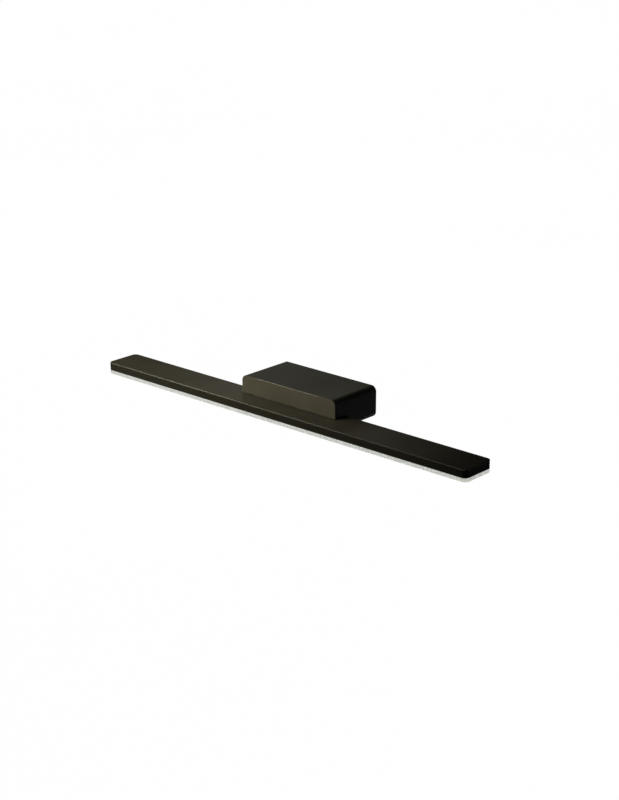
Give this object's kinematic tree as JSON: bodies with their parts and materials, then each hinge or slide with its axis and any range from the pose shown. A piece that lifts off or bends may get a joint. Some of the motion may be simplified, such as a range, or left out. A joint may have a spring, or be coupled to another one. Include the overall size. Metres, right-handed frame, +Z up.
{
  "type": "vanity light bar",
  "caption": "Wall-held vanity light: a long flat bar with rounded corners and an opal diffuser below, carried in the step of a small box canopy.",
  "frame": {"origin": "centre of the wall plate's back face, on the wall, which is also the canopy's centre", "axes": "+X along the light bar, -Y away from the wall into the room, +Z up"},
  "size_m": [0.6, 0.107, 0.041],
  "materials": {
    "satin_black": "satin black powder coat with a faint warm bronze cast",
    "opal_acrylic": "opal acrylic, fine dot pattern on the light side, polished edge",
    "zinc_steel": "zinc-plated sheet steel",
    "screw_steel": "zinc-plated screws",
    "brass": "plain brass",
    "white_enamel": "white baked enamel",
    "board_white": "white solder resist",
    "black_rubber": "black rubber and closed-cell foam",
    "clear_silicone": "translucent silicone",
    "white_plastic": "off-white moulded plastic",
    "circuit_green": "green solder resist",
    "enamelled_copper": "enamelled copper windings",
    "can_sleeve": "shrink sleeve on an aluminium can",
    "lead_brown": "brown lead insulation",
    "lead_blue": "blue lead insulation",
    "lead_green": "green lead insulation",
    "lead_black": "black lead insulation",
    "lead_red": "red lead insulation"
  },
  "bodies": {
    "root": {"canopy_cover": "satin_black", "bar_housing": "satin_black", "canopy_screw_left": "satin_black", "canopy_screw_right": "satin_black", "diffuser": "opal_acrylic", "wall_plate": "zinc_steel", "bar_screw_1": "screw_steel", "bar_screw_2": "screw_steel", "bar_screw_3": "screw_steel", "bar_screw_4": "screw_steel", "tray_screw_1": "screw_steel", "tray_screw_2": "screw_steel", "tray_screw_3": "screw_steel", "tray_screw_4": "screw_steel", "driver_screw_left": "screw_steel", "driver_screw_right": "screw_steel", "block_screw_left": "screw_steel", "block_screw_right": "screw_steel", "terminal_screw_1_lower": "screw_steel", "terminal_screw_1_upper": "screw_steel", "terminal_screw_2_lower": "screw_steel", "terminal_screw_2_upper": "screw_steel", "terminal_screw_3_lower": "screw_steel", "terminal_screw_3_upper": "screw_steel", "terminal_barrel_1": "brass", "terminal_barrel_2": "brass", "terminal_barrel_3": "brass", "earth_screw": "brass", "earth_lug": "brass", "led_tray": "white_enamel", "led_board_left": "board_white", "led_board_right": "board_white", "wall_gasket": "black_rubber", "cable_grommet": "black_rubber", "lead_bush": "black_rubber", "diffuser_seal": "clear_silicone", "terminal_block": "white_plastic", "driver_case": "white_plastic", "driver_lid": "white_plastic", "board_link": "white_plastic", "board_rivet_1": "white_plastic", "board_rivet_2": "white_plastic", "board_rivet_3": "white_plastic", "board_rivet_4": "white_plastic", "driver_board": "circuit_green", "driver_transformer": "enamelled_copper", "driver_choke": "enamelled_copper", "driver_input_capacitor": "can_sleeve", "driver_output_capacitor": "can_sleeve", "lead_live": "lead_brown", "lead_neutral": "lead_blue", "lead_earth": "lead_green", "lead_led_minus": "lead_black", "lead_led_plus": "lead_red"}
  },
  "joints": []
}
